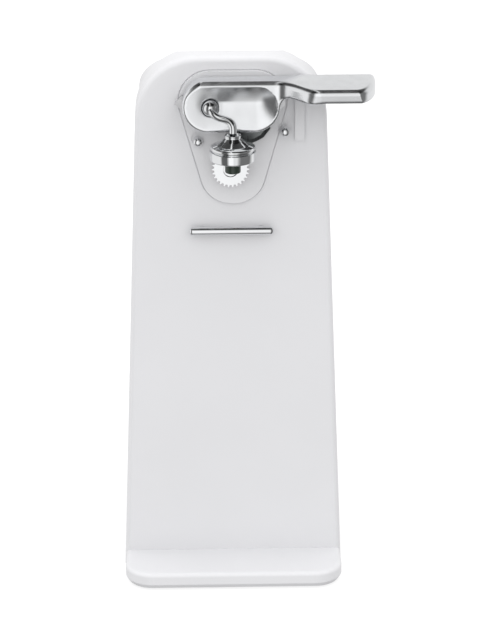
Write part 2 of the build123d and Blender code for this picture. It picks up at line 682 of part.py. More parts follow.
def gear_points(x, z, teeth, module, phase):
    """Outline of a spur gear about (x, z) with one tooth centred at the angle phase, in degrees."""
    pitch_r = teeth * module / 2
    points = []
    for tooth in range(teeth):
        middle = radians(phase) + 2 * pi * tooth / teeth
        for radius, side in (
            (pitch_r - 1.15 * module, -1),
            (pitch_r + 0.9 * module, -1),
            (pitch_r + 0.9 * module, 1),
            (pitch_r - 1.15 * module, 1),
        ):
            half = TOOTH_SHARE * pi * module / 2 - (radius - pitch_r) * sin(radians(FLANK_ANGLE))
            angle = middle + side * half / radius
            points.append((x + radius * cos(angle), z + radius * sin(angle)))
    return points


def gear(centre, teeth, module, phase, front, back):
    """A toothed wheel between two depths."""
    with BuildSketch(front_plane(front)) as section:
        with BuildLine():
            Polyline(*gear_points(*centre, teeth, module, phase), close=True)
        make_face()
    extrude(section.sketch, amount=front - back)


def centre_distance(teeth, pinion, module):
    """How far apart two meshing gears stand."""
    return (teeth + pinion) * module / 2


def step_down(start, distance, sidestep):
    """The next axis of the train: below the last one, stepped to the side."""
    return (start[0] + sidestep, start[1] - sqrt(distance**2 - sidestep**2))


def towards(start, end):
    """Direction from one axis to another, in degrees."""
    return degrees(atan2(end[1] - start[1], end[0] - start[0]))


OUTPUT = (WHEEL_X, WHEEL_Z)
SECOND = step_down(
    OUTPUT, centre_distance(OUTPUT_TEETH, SECOND_PINION_TEETH, OUTPUT_MODULE), SECOND_SIDESTEP
)
FIRST = step_down(SECOND, centre_distance(SECOND_TEETH, FIRST_PINION_TEETH, SECOND_MODULE), FIRST_SIDESTEP)
MOTOR = step_down(FIRST, centre_distance(FIRST_TEETH, MOTOR_TEETH, FIRST_MODULE), MOTOR_SIDESTEP)

PLATE_THICK = 1.5
REAR_PLATE_Y = -4.5
REAR_PLATE_BACK_Y = REAR_PLATE_Y + PLATE_THICK
PLATE_HALF_WIDTH = 24.4
PLATE_LOW_Z = 104.5
PLATE_HIGH_Z = 199.0
SPINDLE_R = 1.5
DRIVE_END_R = 2.5
ROTOR_SHAFT_R = 1.6
MOTOR_SCREW_X = 20.8
MOTOR_SCREWS = [(MOTOR[0] - MOTOR_SCREW_X, MOTOR[1]), (MOTOR[0] + MOTOR_SCREW_X, MOTOR[1])]


def gear_plate(front):
    """A steel side plate of the gearbox, without its holes."""
    with BuildSketch(front_plane(front)) as outline:
        with Locations((0, (PLATE_LOW_Z + PLATE_HIGH_Z) / 2)):
            RectangleRounded(2 * PLATE_HALF_WIDTH, PLATE_HIGH_Z - PLATE_LOW_Z, 5)
    extrude(outline.sketch, amount=-PLATE_THICK)


def plate_hole(centre, radius):
    """A hole right through both gearbox plates' depth."""
    bar(*centre, radius, FRONT_PLATE_Y - 1, REAR_PLATE_BACK_Y + 1, mode=Mode.SUBTRACT)


with BuildPart() as front_gear_plate:
    gear_plate(FRONT_PLATE_Y)
    plate_hole(OUTPUT, DRIVE_SHAFT_R + 0.3)
    for centre in PLATE_SCREWS + [SECOND, FIRST]:
        plate_hole(centre, SCREW_R + SEAT)
save(front_gear_plate.part, "front_gear_plate")

with BuildPart() as rear_gear_plate:
    gear_plate(REAR_PLATE_Y)
    plate_hole(OUTPUT, DRIVE_END_R + RUN)
    plate_hole(MOTOR, 4.0)
    for centre in PLATE_SCREWS + MOTOR_SCREWS + [SECOND, FIRST]:
        plate_hole(centre, SCREW_R + SEAT)
save(rear_gear_plate.part, "rear_gear_plate")

with BuildPart() as plate_standoffs:
    for x, z in PLATE_SCREWS:
        bar(x, z, 2.6, FRONT_PLATE_Y + PLATE_THICK, REAR_PLATE_Y)
        bar(x, z, SCREW_R + SEAT, FRONT_PLATE_Y, REAR_PLATE_Y + 1, mode=Mode.SUBTRACT)
save(plate_standoffs.part, "plate_standoffs")

with BuildPart() as plate_screws:
    for x, z in PLATE_SCREWS:
        y_screw(x, z, INNER_FACE_Y + 1.5, REAR_PLATE_BACK_Y)
save(plate_screws.part, "plate_screws")

with BuildPart() as gear_spindles:
    for x, z in (SECOND, FIRST):
        bar(x, z, SPINDLE_R, FRONT_PLATE_Y, REAR_PLATE_BACK_Y)
save(gear_spindles.part, "gear_spindles")

OUTPUT_FRONT_Y = -17.5
OUTPUT_BACK_Y = -12.6
SHAFT_STEP_Y = -18.3
DRIVE_END_Y = -1.0
HUB_NUT_FRONT_Y = -37.3
WHEEL_BACK_Y = WHEEL_FRONT_Y + WHEEL_THICK
WASHER_BACK_Y = WHEEL_BACK_Y + 0.8
BUSH_FRONT_Y = -32.2
BUSH_FLANGE_BACK_Y = FRONT_Y - BOSS_RAISE
BUSH_BACK_Y = -23.0
WHEEL_BORE_R = 2.4
OUTPUT_BORE_R = 3.2

with BuildPart() as drive_shaft:
    bar(*OUTPUT, WHEEL_BORE_R, HUB_NUT_FRONT_Y + 0.4, WASHER_BACK_Y)
    bar(*OUTPUT, DRIVE_SHAFT_R, WASHER_BACK_Y, SHAFT_STEP_Y)
    bar(*OUTPUT, OUTPUT_BORE_R, SHAFT_STEP_Y, REAR_PLATE_Y - 0.6)
    bar(*OUTPUT, DRIVE_END_R, REAR_PLATE_Y - 0.6, DRIVE_END_Y)
    chamfer(drive_shaft.faces().sort_by(Axis.Y)[-1].edges(), 0.4)
save(drive_shaft.part, "drive_shaft")

with BuildPart() as drive_wheel:
    with BuildSketch(front_plane(WHEEL_FRONT_Y)):
        with BuildLine():
            points = []
            for tooth in range(WHEEL_TEETH):
                for share, depth in ((-0.3, 0.85), (-0.1, 0), (0.1, 0), (0.3, 0.85)):
                    angle = 2 * pi * (tooth + share) / WHEEL_TEETH
                    radius = WHEEL_R - depth
                    points.append((WHEEL_X + radius * cos(angle), WHEEL_Z + radius * sin(angle)))
            Polyline(*points, close=True)
        make_face()
        with Locations(OUTPUT):
            Circle(WHEEL_BORE_R + SEAT, mode=Mode.SUBTRACT)
    extrude(amount=-WHEEL_THICK)
save(drive_wheel.part, "drive_wheel")

with BuildPart() as wheel_hub_nut:
    bar(*OUTPUT, 3.0, HUB_NUT_FRONT_Y, WHEEL_FRONT_Y)
    chamfer(wheel_hub_nut.faces().sort_by(Axis.Y)[0].edges(), 0.5)
    bar(*OUTPUT, WHEEL_BORE_R + SEAT, HUB_NUT_FRONT_Y + 0.4, WHEEL_FRONT_Y, mode=Mode.SUBTRACT)
save(wheel_hub_nut.part, "wheel_hub_nut")

with BuildPart() as drive_washer:
    bar(*OUTPUT, 5.2, WHEEL_BACK_Y, WASHER_BACK_Y)
    bar(*OUTPUT, WHEEL_BORE_R + SEAT, WHEEL_BACK_Y - 1, WASHER_BACK_Y + 1, mode=Mode.SUBTRACT)
save(drive_washer.part, "drive_washer")

with BuildPart() as drive_bushing:
    bar(*OUTPUT, DRIVE_BUSH_R, BUSH_FLANGE_BACK_Y, BUSH_BACK_Y)
    bar(*OUTPUT, DRIVE_BUSH_R + 1.0, BUSH_FRONT_Y, BUSH_FLANGE_BACK_Y)
    bar(*OUTPUT, DRIVE_SHAFT_R + RUN, BUSH_FRONT_Y - 1, BUSH_BACK_Y + 1, mode=Mode.SUBTRACT)
save(drive_bushing.part, "drive_bushing")

with BuildPart() as output_gear:
    gear(OUTPUT, OUTPUT_TEETH, OUTPUT_MODULE, towards(OUTPUT, SECOND), OUTPUT_FRONT_Y, OUTPUT_BACK_Y)
    bar(*OUTPUT, 19.5, OUTPUT_FRONT_Y - 1, OUTPUT_FRONT_Y + 1.6, mode=Mode.SUBTRACT)
    bar(*OUTPUT, 7.0, SHAFT_STEP_Y, OUTPUT_BACK_Y + 3.4)
    bar(*OUTPUT, OUTPUT_BORE_R + SEAT, SHAFT_STEP_Y - 1, OUTPUT_BACK_Y + 5, mode=Mode.SUBTRACT)
    for turn in range(6):
        spot = radians(60 * turn)
        hole = (WHEEL_X + 13.2 * cos(spot), WHEEL_Z + 13.2 * sin(spot))
        bar(*hole, 3.6, OUTPUT_FRONT_Y, OUTPUT_BACK_Y + 1, mode=Mode.SUBTRACT)
save(output_gear.part, "output_gear")

with BuildPart() as shaft_retaining_ring:
    bar(*OUTPUT, 4.4, REAR_PLATE_BACK_Y + 0.3, REAR_PLATE_BACK_Y + 1.1)
    bar(*OUTPUT, DRIVE_END_R + SEAT, REAR_PLATE_Y, DRIVE_END_Y + 1, mode=Mode.SUBTRACT)
    ring_gap = (REAR_PLATE_BACK_Y, REAR_PLATE_BACK_Y + 2)
    block((-1.4, 1.4), ring_gap, (WHEEL_Z - 6, WHEEL_Z - 2), mode=Mode.SUBTRACT)
save(shaft_retaining_ring.part, "shaft_retaining_ring")

SECOND_WHEEL = (-12.2, -9.2)
FIRST_WHEEL = (-8.4, -6.2)
GEAR_END_Y = REAR_PLATE_Y - 0.5
GEAR_START_Y = FRONT_PLATE_Y + PLATE_THICK + 0.6

with BuildPart() as second_gear:
    mesh_angle = towards(SECOND, OUTPUT) + 180 / SECOND_PINION_TEETH
    gear(SECOND, SECOND_PINION_TEETH, OUTPUT_MODULE, mesh_angle, GEAR_START_Y, SECOND_WHEEL[0])
    gear(SECOND, SECOND_TEETH, SECOND_MODULE, towards(SECOND, FIRST), *SECOND_WHEEL)
    bar(*SECOND, 3.2, SECOND_WHEEL[1], GEAR_END_Y)
    bar(*SECOND, SPINDLE_R + RUN, GEAR_START_Y - 1, GEAR_END_Y + 1, mode=Mode.SUBTRACT)
save(second_gear.part, "second_gear")

with BuildPart() as first_gear:
    mesh_angle = towards(FIRST, SECOND) + 180 / FIRST_PINION_TEETH
    bar(*FIRST, 2.9, GEAR_START_Y, SECOND_WHEEL[0] - 0.4)
    gear(FIRST, FIRST_PINION_TEETH, SECOND_MODULE, mesh_angle, SECOND_WHEEL[0] - 0.4, FIRST_WHEEL[0])
    gear(FIRST, FIRST_TEETH, FIRST_MODULE, towards(FIRST, MOTOR), *FIRST_WHEEL)
    bar(*FIRST, 3.0, FIRST_WHEEL[1], GEAR_END_Y)
    bar(*FIRST, SPINDLE_R + RUN, GEAR_START_Y - 1, GEAR_END_Y + 1, mode=Mode.SUBTRACT)
save(first_gear.part, "first_gear")

PINION_BORE_R = 1.0

with BuildPart() as motor_pinion:
    mesh_angle = towards(MOTOR, FIRST) + 180 / MOTOR_TEETH
    gear(MOTOR, MOTOR_TEETH, FIRST_MODULE, mesh_angle, FIRST_WHEEL[0] - 0.8, FIRST_WHEEL[1] + 0.8)
    bar(*MOTOR, PINION_BORE_R + SEAT, FIRST_WHEEL[0] - 2, FIRST_WHEEL[1] + 2, mode=Mode.SUBTRACT)
save(motor_pinion.part, "motor_pinion")

# ======================================================================================
# Motor
# ======================================================================================

STACK = (7.0, 25.0)
STACK_HALF_WIDTH = 29.0
STACK_TOP = 20.0  # heights below are measured from the rotor's axis
LEG_WIDTH = 10.0
LEG_LOW = -52.0
CORE_TOP = -36.0
CORE_LOW = -48.0
ROTOR_R = 12.1
AIR_GAP = 0.4
BRACKET_FRONT_Y = 1.0
BRACKET_THICK = 2.0
REAR_BRACKET_Y = 29.0
BEARING_R = 3.6
SHADING_UP = 9.0
FAN = (35.0, 41.0)
SHAFT_FRONT_END_Y = FIRST_WHEEL[0] - 1.0
ROTOR_SHAFT_END_Y = 41.6


def motor_block(x, y, low, high, mode=Mode.ADD):
    """A block of the motor, its heights measured from the rotor's axis."""
    block((MOTOR[0] + x[0], MOTOR[0] + x[1]), y, (MOTOR[1] + low, MOTOR[1] + high), mode=mode)


def shading_sides():
    """The four shading rings' places: which side of the rotor, and above or below it."""
    return [(side, level) for side in (-1, 1) for level in (-SHADING_UP, SHADING_UP)]


with BuildPart() as stator_core:
    motor_block((-STACK_HALF_WIDTH, STACK_HALF_WIDTH), STACK, -STACK_TOP, STACK_TOP)
    leg_in = STACK_HALF_WIDTH - LEG_WIDTH
    for x in ((-STACK_HALF_WIDTH, -leg_in), (leg_in, STACK_HALF_WIDTH)):
        motor_block(x, STACK, LEG_LOW, -STACK_TOP)
    fillet(stator_core.edges().filter_by(Axis.Y).group_by(Axis.Z)[-1], 3)
    bar(*MOTOR, ROTOR_R + AIR_GAP, STACK[0] - 1, STACK[1] + 1, mode=Mode.SUBTRACT)
    for centre in MOTOR_SCREWS:
        bar(*centre, SCREW_R + SEAT, STACK[0] - 1, STACK[1] + 1, mode=Mode.SUBTRACT)
    for side, level in shading_sides():
        for near in (15.0, 23.0):
            x = sorted((side * near, side * (near + 1.6)))
            motor_block(x, (STACK[0] - 1, STACK[1] + 1), level - 1.2, level + 1.2, mode=Mode.SUBTRACT)
save(stator_core.part, "stator_core")

with BuildPart() as shading_rings:
    for side, level in shading_sides():
        x = sorted((side * 15.05, side * 24.55))
        motor_block(x, (STACK[0] - 1.5, STACK[1] + 1.5), level - 1.15, level + 1.15)
        x = sorted((side * 16.6, side * 23.0))
        motor_block(x, (STACK[0], STACK[1]), level - 2, level + 2, mode=Mode.SUBTRACT)
save(shading_rings.part, "shading_rings")

with BuildPart() as coil_core:
    motor_block((-leg_in, leg_in), STACK, CORE_LOW, CORE_TOP)
save(coil_core.part, "coil_core")

BOBBIN_WALL = 1.2
WINDING_DEPTH = 7.0
FLANGE = (16.6, 18.4)


def coil_section(x, grow):
    """The coil's rounded section in the YZ plane at x, standing off the core by grow."""
    with BuildSketch(Plane.YZ.offset(MOTOR[0] + x)) as section:
        with Locations(((STACK[0] + STACK[1]) / 2, MOTOR[1] + (CORE_LOW + CORE_TOP) / 2)):
            RectangleRounded(STACK[1] - STACK[0] + 2 * grow, CORE_TOP - CORE_LOW + 2 * grow, max(grow, 0.4))
    return section.sketch


with BuildPart() as coil_bobbin:
    extrude(coil_section(-FLANGE[1], BOBBIN_WALL), amount=2 * FLANGE[1])
    for x in (-FLANGE[1], FLANGE[0]):
        extrude(coil_section(x, BOBBIN_WALL + WINDING_DEPTH + 0.8), amount=FLANGE[1] - FLANGE[0])
    core_room = (STACK[0] - SEAT, STACK[1] + SEAT)
    motor_block((-leg_in, leg_in), core_room, CORE_LOW - SEAT, CORE_TOP + SEAT, mode=Mode.SUBTRACT)
save(coil_bobbin.part, "coil_bobbin")

with BuildPart() as coil_winding:
    extrude(coil_section(-FLANGE[0], BOBBIN_WALL + WINDING_DEPTH), amount=2 * FLANGE[0])
    extrude(coil_section(-FLANGE[0], BOBBIN_WALL), amount=2 * FLANGE[0], mode=Mode.SUBTRACT)
save(coil_winding.part, "coil_winding")

with BuildPart() as rotor:
    bar(*MOTOR, ROTOR_R, STACK[0] + 0.3, STACK[1] - 0.3)
    bar(*MOTOR, ROTOR_R - 0.8, STACK[0] - 1.6, STACK[1] + 1.6)
    bar(*MOTOR, ROTOR_SHAFT_R + SEAT, STACK[0] - 3, STACK[1] + 3, mode=Mode.SUBTRACT)
save(rotor.part, "rotor")

with BuildPart() as rotor_shaft:
    bar(*MOTOR, PINION_BORE_R, SHAFT_FRONT_END_Y, REAR_PLATE_Y - 0.4)
    bar(*MOTOR, ROTOR_SHAFT_R, REAR_PLATE_Y - 0.4, ROTOR_SHAFT_END_Y)
save(rotor_shaft.part, "rotor_shaft")


def motor_bracket(strip, legs):
    """A bridge across the rotor: a flat strip and two legs that stand on the core."""
    motor_block((-26, 26), strip, -6.3, 6.3)
    for x in ((-26, -17.8), (17.8, 26)):
        motor_block(x, legs, -6.3, 6.3)


with BuildPart() as front_motor_bracket:
    strip = (BRACKET_FRONT_Y, BRACKET_FRONT_Y + BRACKET_THICK)
    motor_bracket(strip, (strip[1], STACK[0]))
    for centre in MOTOR_SCREWS:
        bar(*centre, 3.4, REAR_PLATE_BACK_Y, BRACKET_FRONT_Y)
    bar(*MOTOR, 5.2, BRACKET_FRONT_Y - 1.6, strip[1])
    bar(*MOTOR, BEARING_R + SEAT, BRACKET_FRONT_Y - 3, STACK[0], mode=Mode.SUBTRACT)
    for centre in MOTOR_SCREWS:
        bar(*centre, SCREW_R + SEAT, REAR_PLATE_BACK_Y - 1, STACK[0] + 1, mode=Mode.SUBTRACT)
save(front_motor_bracket.part, "front_motor_bracket")

with BuildPart() as rear_motor_bracket:
    strip = (REAR_BRACKET_Y, REAR_BRACKET_Y + BRACKET_THICK)
    motor_bracket(strip, (STACK[1], strip[0]))
    bar(*MOTOR, 5.2, strip[0], strip[1] + 1.6)
    bar(*MOTOR, BEARING_R + SEAT, STACK[1], strip[1] + 3, mode=Mode.SUBTRACT)
    for centre in MOTOR_SCREWS:
        bar(*centre, SCREW_R + SEAT, STACK[1] - 1, strip[1] + 1, mode=Mode.SUBTRACT)
save(rear_motor_bracket.part, "rear_motor_bracket")

with BuildPart() as motor_bearings:
    for front, back in (
        (BRACKET_FRONT_Y - 1.6, BRACKET_FRONT_Y + BRACKET_THICK),
        (REAR_BRACKET_Y, REAR_BRACKET_Y + BRACKET_THICK + 1.6),
    ):
        bar(*MOTOR, BEARING_R, front, back)
        bar(*MOTOR, ROTOR_SHAFT_R + RUN, front - 1, back + 1, mode=Mode.SUBTRACT)
save(motor_bearings.part, "motor_bearings")

with BuildPart() as motor_screws:
    for x, z in MOTOR_SCREWS:
        y_screw(x, z, REAR_PLATE_Y, REAR_BRACKET_Y + BRACKET_THICK)
save(motor_screws.part, "motor_screws")

FAN_HUB_R = 4.6
FAN_BLADES = 6
FAN_R = 19.0

with BuildPart() as cooling_fan:
    bar(*MOTOR, FAN_HUB_R, *FAN)
    blade_length = FAN_R - FAN_HUB_R + 1
    hub_plane = Plane(origin=(MOTOR[0], (FAN[0] + FAN[1]) / 2, MOTOR[1]), x_dir=(1, 0, 0), z_dir=(0, -1, 0))
    with Locations(hub_plane):
        with PolarLocations(FAN_HUB_R - 1 + blade_length / 2, FAN_BLADES):
            Box(blade_length, 7.0, 1.1, rotation=(38, 0, 0))
    bar(*MOTOR, ROTOR_SHAFT_R + SEAT, FAN[0] - 1, FAN[1] + 1, mode=Mode.SUBTRACT)
save(cooling_fan.part, "cooling_fan")

# ======================================================================================
# Switch
# ======================================================================================

PIN_X = PIVOT_X + CRANK_REACH
SLIDER_X = (3.6, 12.6)
SLIDER_Y = (-24.4, -21.4)
SLIDER_Z = (192.5, 204.0)
SLIDE_GAP = 0.3
BODY_BACK_Y = (SLIDER_Y[1] + SLIDE_GAP, FRONT_PLATE_Y)
RAIL = 1.4
FLOOR_Z = (184.0, 186.0)
TOE_X = (10.7, 12.3)
TOE_LOW_Z = 182.05
SPRING_X = 6.4
SPRING_R = 1.5
SPRING_WIRE_R = 0.28
LEAF_X = (10.4, 23.5)
LEAF_Y = (-24.0, -21.6)
LEAF_Z = (180.4, 180.8)
FIXED_Z = (178.8, 179.2)
TERMINAL_X = (15.4, 20.6)

with BuildPart() as switch_slider:
    block(SLIDER_X, SLIDER_Y, SLIDER_Z)
    block(TOE_X, SLIDER_Y, (TOE_LOW_Z, SLIDER_Z[0]))
    fillet(switch_slider.edges().filter_by(Axis.Y).group_by(Axis.Z)[-1], 1)
    # the cross slot that the crank's pin works in
    slot_z = (PIVOT_Z - CRANK_PIN_R - SLIDE_GAP, PIVOT_Z + CRANK_PIN_R + SLIDE_GAP)
    block((PIN_X - 3.4, PIN_X + 1.9), (SLIDER_Y[0] - 1, SLIDER_Y[1] + 1), slot_z, mode=Mode.SUBTRACT)
save(switch_slider.part, "switch_slider")

with BuildPart() as switch_body:
    outer = (SLIDER_X[0] - SLIDE_GAP - RAIL, SLIDER_X[1] + SLIDE_GAP + RAIL)
    block(outer, BODY_BACK_Y, (FLOOR_Z[0], 201.0))
    for x in ((outer[0], outer[0] + RAIL), (outer[1] - RAIL, outer[1])):
        block(x, (SLIDER_Y[0], BODY_BACK_Y[1]), (FLOOR_Z[0], 201.0))
    block(outer, (SLIDER_Y[0], BODY_BACK_Y[1]), FLOOR_Z)
    toe_room = (TOE_X[0] - SLIDE_GAP, TOE_X[1] + SLIDE_GAP)
    block(toe_room, (SLIDER_Y[0] - 1, SLIDER_Y[1] + SLIDE_GAP), (183, 187), mode=Mode.SUBTRACT)
    block((outer[0], TERMINAL_X[1]), BODY_BACK_Y, (177.6, FLOOR_Z[1]))
    block(TERMINAL_X, (SLIDER_Y[0], BODY_BACK_Y[1]), (177.6, 182.0))
    for z in (LEAF_Z, FIXED_Z):
        slot = (z[0] - SEAT, z[1] + SEAT)
        seat_y = (LEAF_Y[0] - SEAT, LEAF_Y[1] + SEAT)
        block((TERMINAL_X[0] - 1, TERMINAL_X[1] + 1), seat_y, slot, mode=Mode.SUBTRACT)
save(switch_body.part, "switch_body")

with BuildPart() as contact_leaf:
    block(LEAF_X, LEAF_Y, LEAF_Z)
save(contact_leaf.part, "contact_leaf")

with BuildPart() as fixed_contact:
    block(LEAF_X, LEAF_Y, FIXED_Z)
    post(LEAF_X[0] + 1.2, (LEAF_Y[0] + LEAF_Y[1]) / 2, 0.9, FIXED_Z[1], FIXED_Z[1] + 0.7)
save(fixed_contact.part, "fixed_contact")

spring_space = SLIDER_Z[0] - FLOOR_Z[1] - 2 * SPRING_WIRE_R - 0.04
spring_start = (SPRING_X, (SLIDER_Y[0] + SLIDER_Y[1]) / 2, FLOOR_Z[1] + SPRING_WIRE_R + 0.02)

with BuildPart() as slider_spring:
    with BuildLine() as coil:
        Helix(pitch=spring_space / 5, height=spring_space, radius=SPRING_R, center=spring_start)
    with BuildSketch(Plane(origin=coil.line @ 0, z_dir=coil.line % 0)):
        Circle(SPRING_WIRE_R)
    sweep(path=coil.line, is_frenet=True)
save(slider_spring.part, "slider_spring")
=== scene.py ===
import json
from math import ceil, cos, pi, radians, sin

import bpy
import numpy as np
from mathutils import Matrix, Vector


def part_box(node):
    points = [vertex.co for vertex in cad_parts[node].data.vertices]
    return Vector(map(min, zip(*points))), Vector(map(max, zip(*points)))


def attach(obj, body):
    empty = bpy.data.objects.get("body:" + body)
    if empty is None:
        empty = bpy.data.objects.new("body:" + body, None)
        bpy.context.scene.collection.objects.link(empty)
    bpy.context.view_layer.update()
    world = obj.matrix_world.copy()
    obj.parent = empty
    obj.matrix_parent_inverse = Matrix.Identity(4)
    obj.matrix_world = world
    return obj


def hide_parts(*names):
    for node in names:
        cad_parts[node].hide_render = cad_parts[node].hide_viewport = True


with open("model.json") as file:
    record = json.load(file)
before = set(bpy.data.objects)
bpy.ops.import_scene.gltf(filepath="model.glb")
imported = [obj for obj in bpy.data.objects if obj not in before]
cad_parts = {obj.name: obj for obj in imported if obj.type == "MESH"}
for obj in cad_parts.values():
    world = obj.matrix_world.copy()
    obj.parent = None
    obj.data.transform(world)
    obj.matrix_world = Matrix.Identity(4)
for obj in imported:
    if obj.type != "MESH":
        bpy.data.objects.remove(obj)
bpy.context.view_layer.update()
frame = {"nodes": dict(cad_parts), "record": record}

MM = 0.001
scene = bpy.context.scene

# ======================================================================================
# Camera, floor and light
# ======================================================================================

CAMERA_TARGET = Vector((0, -20, 105)) * MM
CAMERA_DISTANCE = 1.0
CAMERA_ELEVATION = radians(21.0)
CAMERA_AZIMUTH = radians(-1.0)
CAMERA_ROLL = radians(-0.289)
CAMERA_LENS = 139.88
CAMERA_SHIFT = (0.0287, -0.0029)


def add_camera():
    """The camera, looking slightly down at the front."""
    data = bpy.data.cameras.new("camera")
    data.lens = CAMERA_LENS
    data.sensor_fit = "AUTO"
    data.sensor_width = 36
    data.shift_x, data.shift_y = CAMERA_SHIFT
    data.clip_start, data.clip_end = 0.01, 50
    camera = bpy.data.objects.new("camera", data)
    scene.collection.objects.link(camera)
    level = cos(CAMERA_ELEVATION)
    back = Vector((sin(CAMERA_AZIMUTH) * level, -cos(CAMERA_AZIMUTH) * level, sin(CAMERA_ELEVATION)))
    right = Vector((0, 0, 1)).cross(back).normalized()
    up = back.cross(right)
    turned_right = right * cos(CAMERA_ROLL) + up * sin(CAMERA_ROLL)
    turned_up = up * cos(CAMERA_ROLL) - right * sin(CAMERA_ROLL)
    place = Matrix((turned_right, turned_up, back)).transposed().to_4x4()
    place.translation = CAMERA_TARGET + back * CAMERA_DISTANCE
    camera.matrix_world = place
    scene.camera = camera


def add_sun(name, place, angle, power):
    """A very soft far light that shines towards the origin and isn't mirrored."""
    data = bpy.data.lights.new(name, "SUN")
    data.energy = power
    data.angle = angle
    light = bpy.data.objects.new(name, data)
    scene.collection.objects.link(light)
    light.rotation_euler = Vector(place).to_track_quat("Z", "Y").to_euler()
    light.visible_glossy = False


# how bright the tent is: by heading in half turns from the front, negative to the left, then by how far
# up or down a direction points, from -1 to 1; the strip overhead by how far it points to the right
TENT_AROUND = [
    (-1.0, 0.85),
    (-0.52, 0.90),
    (-0.36, 0.90),
    (-0.31, 0.14),
    (-0.17, 0.12),
    (-0.10, 1.12),
    (0.003, 1.10),
    (0.02, 0.86),
    (0.11, 0.86),
    (0.16, 0.45),
    (0.22, 0.18),
    (0.50, 0.18),
    (0.62, 0.85),
    (1.0, 0.85),
]
TENT_HEIGHT = [
    (-1.0, 0.20),
    (-0.85, 0.25),
    (-0.58, 0.72),
    (-0.38, 1.0),
    (0.52, 0.95),
    (0.68, 0.10),
    (1.0, 0.06),
]
STRIP_ACROSS = [(-1.0, 0.0), (-0.14, 0.0), (-0.11, 1.0), (-0.06, 1.0), (-0.03, 0.0), (1.0, 0.0)]
STRIP_HEIGHT = [(-1.0, 0.0), (0.40, 0.0), (0.60, 1.0), (1.0, 1.0)]
TENT_STRENGTH = 1.08
DOME_HEIGHT = [(-1.0, 0.72), (0.0, 0.74), (0.4, 0.85), (1.0, 1.10)]  # what matt surfaces are lit by instead


def world_ramp(world, source, stops):
    """Brightness along a number that runs from -1 to 1."""
    nodes, links = world.node_tree.nodes, world.node_tree.links
    spread = nodes.new("ShaderNodeMapRange")
    spread.inputs["From Min"].default_value = -1
    links.new(source, spread.inputs["Value"])
    ramp = nodes.new("ShaderNodeValToRGB")
    links.new(spread.outputs["Result"], ramp.inputs["Fac"])
    for _ in stops[1:-1]:
        ramp.color_ramp.elements.new(0.5)
    for element, (spot, level) in zip(ramp.color_ramp.elements, stops):
        element.position = (spot + 1) / 2
        element.color = (level, level, level, 1)
    return ramp.outputs["Color"]


def world_math(world, operation, first, second):
    """One step of arithmetic on two sockets or numbers."""
    nodes, links = world.node_tree.nodes, world.node_tree.links
    step = nodes.new("ShaderNodeMath")
    step.operation = operation
    for entry, source in zip(step.inputs, (first, second)):
        if isinstance(source, (int, float)):
            entry.default_value = source
        else:
            links.new(source, entry)
    return step.outputs[0]


def add_world():
    """A pale light tent with dim gaps and one bright strip overhead, which polished pieces mirror. Matt
    surfaces are lit by an even dome instead."""
    world = bpy.data.worlds.new("studio")
    world.use_nodes = True
    scene.world = world
    nodes, links = world.node_tree.nodes, world.node_tree.links
    place = nodes.new("ShaderNodeTexCoord")
    split = nodes.new("ShaderNodeSeparateXYZ")
    links.new(place.outputs["Generated"], split.inputs[0])
    forward = world_math(world, "MULTIPLY", split.outputs["Y"], -1)
    heading = world_math(world, "ARCTAN2", split.outputs["X"], forward)
    around = world_ramp(world, world_math(world, "DIVIDE", heading, pi), TENT_AROUND)
    height = world_ramp(world, split.outputs["Z"], TENT_HEIGHT)
    across = world_ramp(world, split.outputs["X"], STRIP_ACROSS)
    above = world_ramp(world, split.outputs["Z"], STRIP_HEIGHT)
    tent = world_math(world, "MULTIPLY", around, height)
    strip = world_math(world, "MULTIPLY", across, above)
    mirrored = world_math(world, "MAXIMUM", tent, strip)
    dome = world_ramp(world, split.outputs["Z"], DOME_HEIGHT)
    rays = nodes.new("ShaderNodeLightPath")
    matt = rays.outputs["Is Diffuse Ray"]
    seen = world_math(world, "MULTIPLY", mirrored, world_math(world, "SUBTRACT", 1, matt))
    lit = world_math(world, "MULTIPLY", dome, matt)
    links.new(world_math(world, "ADD", seen, lit), nodes["Background"].inputs["Color"])
    world.cycles.sampling_method = "NONE"
    nodes["Background"].inputs["Strength"].default_value = TENT_STRENGTH


FLOOR_REACH = 4  # metres
FLOOR_COLOUR = (0.30, 0.30, 0.30, 1)
FLOOR_GLOW = 0.7


def add_floor():
    """A plain white sweep, a little luminous, so that no shadow on it is strong."""
    mesh = bpy.data.meshes.new("floor")
    corners = [(-1, -1, 0), (1, -1, 0), (1, 1, 0), (-1, 1, 0)]
    mesh.from_pydata([FLOOR_REACH * Vector(corner) for corner in corners], [], [(0, 1, 2, 3)])
    floor = bpy.data.objects.new("floor", mesh)
    scene.collection.objects.link(floor)
    finish = bpy.data.materials.new("floor")
    finish.use_nodes = True
    shader = finish.node_tree.nodes["Principled BSDF"]
    shader.inputs["Base Color"].default_value = FLOOR_COLOUR
    shader.inputs["Roughness"].default_value = 0.9
    shader.inputs["Emission Color"].default_value = (1, 1, 1, 1)
    shader.inputs["Emission Strength"].default_value = FLOOR_GLOW
    mesh.materials.append(finish)
    floor.visible_glossy = floor.visible_diffuse = False


SKY_FROM = (-0.10, -0.50, 0.86)
SKY_ANGLE = radians(120)
SKY_POWER = 1.75

add_camera()
add_world()
add_floor()
add_sun("sky", SKY_FROM, SKY_ANGLE, SKY_POWER)
scene.view_settings.view_transform = "Standard"
scene.view_settings.look = "None"

# ======================================================================================
# Materials
# ======================================================================================


